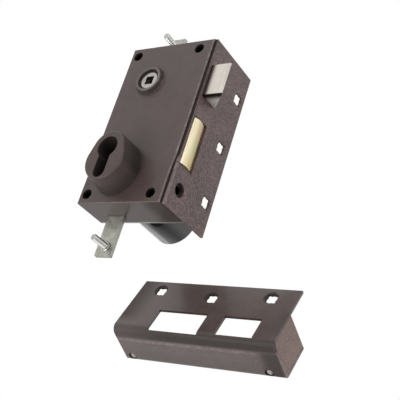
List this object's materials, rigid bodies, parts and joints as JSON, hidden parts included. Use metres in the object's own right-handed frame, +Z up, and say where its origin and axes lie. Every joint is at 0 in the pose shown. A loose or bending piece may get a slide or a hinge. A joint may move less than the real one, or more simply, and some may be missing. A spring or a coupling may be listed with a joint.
{
  "type": "three-point lock",
  "caption": "Surface-mounted three-point lock: beveled latch, wide deadbolt, rod ends up and down, profile cylinder opening with boss and guard tube, and a separate box keeper.",
  "frame": {"origin": "centre of the four case screw holes, on the face that lies on the door", "axes": "+Z up along the case and rods, +X towards the forend and the bolts, +Y into the door, so -Y faces the room"},
  "size_m": [0.1461, 0.1306, 0.2404],
  "materials": {
    "dark_paint": "satin dark brown-grey enamel with fine specks",
    "dark_lacquer": "semi-gloss dark brown-grey lacquer over sheet, slightly mottled",
    "zinc_sheet": "bright zinc-plated sheet",
    "screw_steel": "zinc-plated steel, turned or rolled",
    "bright_chrome": "bright drawn tube with fine lines along it",
    "nickel": "nickel plate, fine lines",
    "spring_steel": "oiled spring wire",
    "yellow_zinc": "yellow passivated zinc with pink and green tints",
    "cast_zinc": "zinc alloy casting, plain",
    "brass_sheet": "stamped brass"
  },
  "bodies": {
    "case": {"case_cover": "dark_paint", "back_plate": "zinc_sheet", "forend_plate": "dark_lacquer", "mounting_sleeves": "zinc_sheet", "cover_pillars": "zinc_sheet", "back_screws": "screw_steel", "cylinder_boss": "dark_paint", "boss_screws": "screw_steel", "guard_tube": "bright_chrome", "tube_rivets": "screw_steel", "follower_collar": "dark_paint", "follower_spring": "spring_steel", "latch_spring": "spring_steel", "latch_spring_anchor": "zinc_sheet", "bolt_guide_post": "screw_steel", "pinion_post": "screw_steel", "rod_guide_posts": "screw_steel", "retaining_lever_post": "screw_steel", "retaining_spring": "spring_steel", "keeper_shell": "dark_lacquer", "keeper_latch_end_cap": "dark_lacquer", "keeper_bolt_end_cap": "dark_lacquer", "keeper_rivets": "screw_steel"},
    "follower": {"follower_hub": "nickel"},
    "latch": {"latch_bolt": "nickel", "latch_tail": "zinc_sheet", "latch_tail_rivets": "screw_steel"},
    "deadbolt": {"deadbolt": "yellow_zinc", "deadbolt_tail": "zinc_sheet", "deadbolt_rivets": "screw_steel"},
    "pinion": {"drive_pinion": "cast_zinc"},
    "top_rod": {"top_rod": "zinc_sheet", "top_rod_stud": "screw_steel"},
    "bottom_rod": {"bottom_rod": "zinc_sheet", "bottom_rod_stud": "screw_steel"},
    "lever": {"retaining_lever": "brass_sheet"}
  },
  "joints": [
    {"name": "follower_turn", "type": "hinge", "parent": "case", "child": "follower", "pos_m": [-0.00725, -0.015, 0.0355], "axis": [0, -1, 0], "range_deg": [0, 40]},
    {"name": "latch_slide", "type": "slide", "parent": "case", "child": "latch", "axis": [-1, 0, 0], "range_m": [0, 0.0155], "stiffness_N_per_m": 100, "springref_m": -0.02, "deforming": ["latch_spring"]},
    {"name": "deadbolt_slide", "type": "slide", "parent": "case", "child": "deadbolt", "axis": [1, 0, 0], "range_m": [0, 0.022]},
    {"name": "pinion_spin", "type": "hinge", "parent": "case", "child": "pinion", "pos_m": [-0.00725, -0.014, 0.0125], "axis": [0, -1, 0], "range_deg": [0, 181]},
    {"name": "top_rod_slide", "type": "slide", "parent": "case", "child": "top_rod", "axis": [0, 0, 1], "range_m": [0, 0.01415]},
    {"name": "bottom_rod_slide", "type": "slide", "parent": "case", "child": "bottom_rod", "axis": [0, 0, -1], "range_m": [0, 0.01415]},
    {"name": "lever_drop", "type": "hinge", "parent": "case", "child": "lever", "pos_m": [-0.02625, -0.015, 0.011], "axis": [0, 1, 0], "range_deg": [0, 4]}
  ],
  "couplings": [
    {"joint": "follower_turn", "follows": "latch_slide", "rad_per_m": 45},
    {"joint": "pinion_spin", "follows": "deadbolt_slide", "rad_per_m": 142.86},
    {"joint": "top_rod_slide", "follows": "deadbolt_slide", "ratio": 0.64286},
    {"joint": "bottom_rod_slide", "follows": "deadbolt_slide", "ratio": 0.64286}
  ]
}
